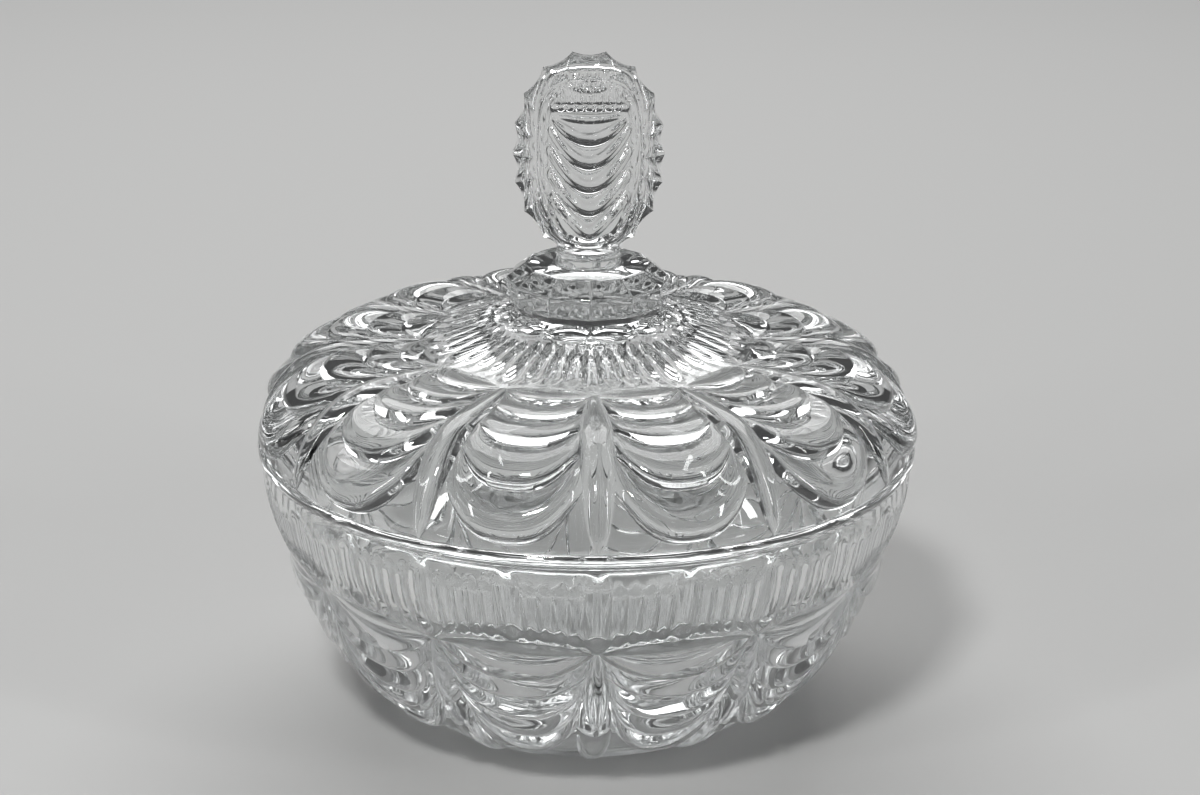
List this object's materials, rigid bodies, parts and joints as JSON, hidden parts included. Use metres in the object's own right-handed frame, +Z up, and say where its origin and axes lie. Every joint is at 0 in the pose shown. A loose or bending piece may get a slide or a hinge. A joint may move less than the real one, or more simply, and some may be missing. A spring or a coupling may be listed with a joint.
{
  "type": "lidded glass dish",
  "caption": "Round clear pressed-glass bowl with a domed lift-off lid and an upright paddle finial, patterned with flutes, leaf strips and draped swags; it holds sweets, sugar or fruit.",
  "frame": {"origin": "centre of the flat base, on the surface that the dish stands on", "axes": "+Z up along the axis that the bowl, the lid and its pattern turn about; -Y is the front, which the finial's flat face looks to"},
  "size_m": [0.1708, 0.1708, 0.1727],
  "materials": {
    "bowl_glass": "clear pressed lead crystal, fire-polished",
    "lid_glass": "clear pressed lead crystal, fire-polished"
  },
  "bodies": {
    "bowl": {"bowl": "bowl_glass"},
    "lid": {"lid": "lid_glass"}
  },
  "joints": [
    {"name": "lid_lift", "type": "slide", "parent": "bowl", "child": "lid", "axis": [0, 0, 1], "range_m": [0, 0.12]}
  ]
}
